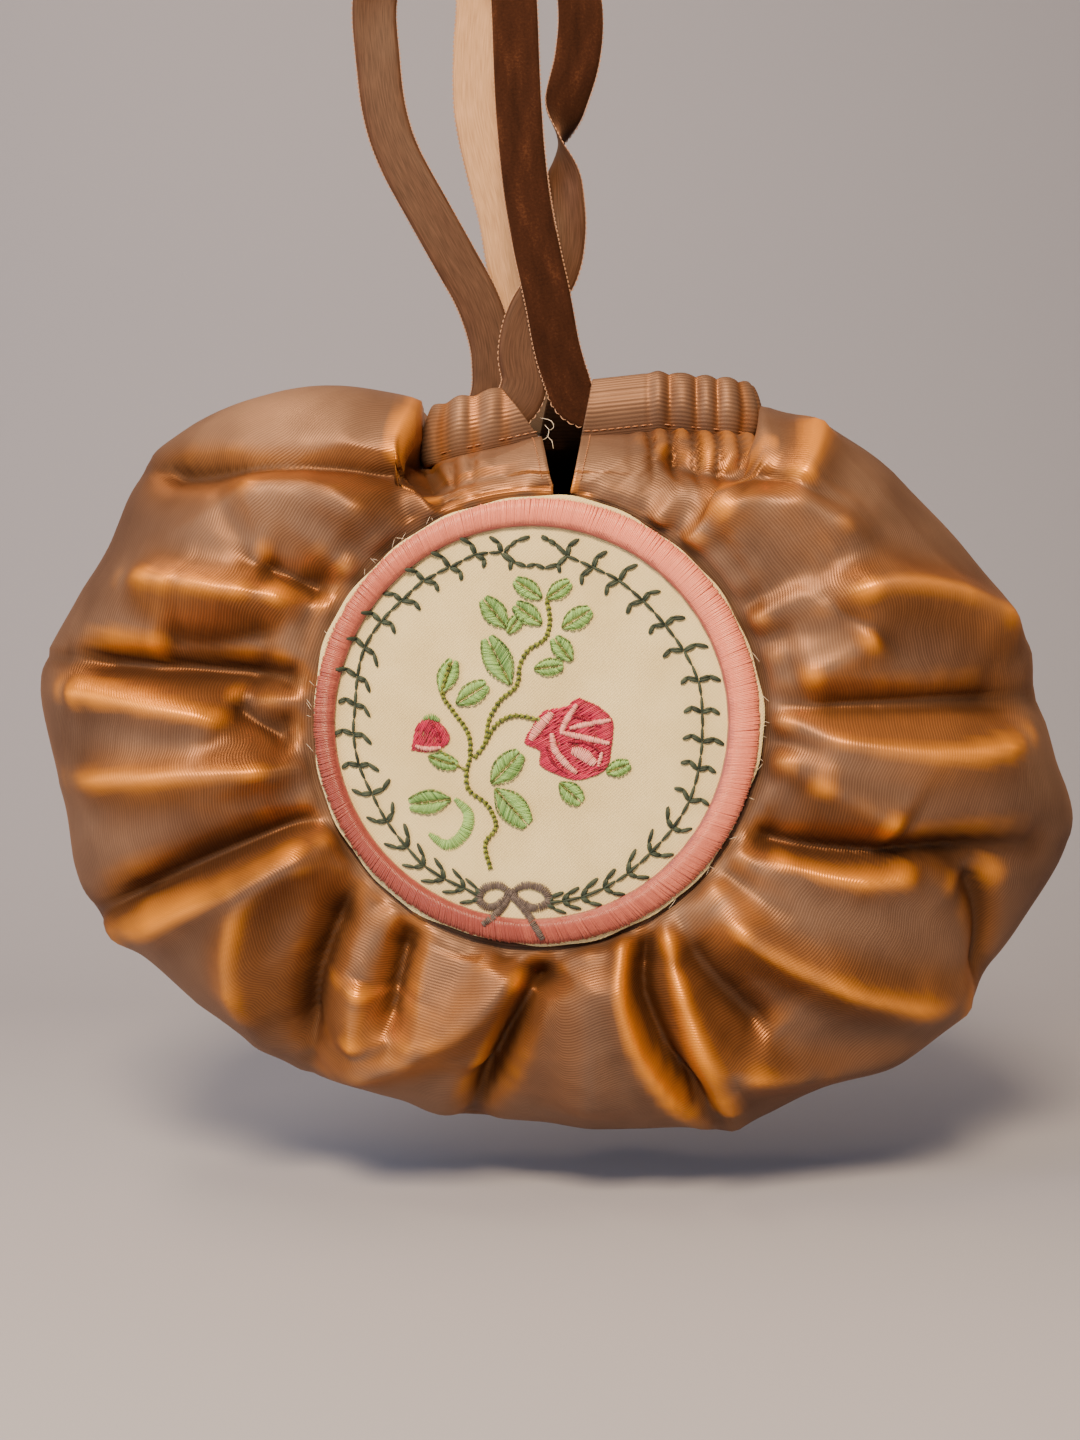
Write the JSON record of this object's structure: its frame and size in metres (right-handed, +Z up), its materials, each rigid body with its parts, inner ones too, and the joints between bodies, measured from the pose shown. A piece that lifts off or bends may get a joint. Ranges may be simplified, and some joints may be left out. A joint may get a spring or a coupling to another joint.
{
  "type": "reticule",
  "caption": "Soft drawstring reticule in shot taffeta, gathered onto an embroidered front round, with velvet ribbon loops through its casings.",
  "frame": {"origin": "the point that the two ribbon loops hang from, above the bag", "axes": "+Z up along the hanging ribbons, -Y out of the embroidered front, +X to the right seen from the front"},
  "size_m": [0.2989, 0.1008, 0.368],
  "materials": {
    "taffeta": "shot taffeta, bronze brown with an orange sheen, fine crosswise ribs",
    "cream_linen": "cream plain-weave cloth, matt",
    "pink_satin_stitch": "dusty pink rayon satin stitch, silky",
    "velvet_ribbon": "chestnut velvet on one face, smooth satin on the other"
  },
  "bodies": {
    "root": {"front_panel": "taffeta", "back_panel": "taffeta", "left_casing": "taffeta", "right_casing": "taffeta", "medallion_cloth": "cream_linen", "medallion_border": "pink_satin_stitch", "back_round": "taffeta", "left_ribbon": "velvet_ribbon", "right_ribbon": "velvet_ribbon"}
  },
  "joints": []
}
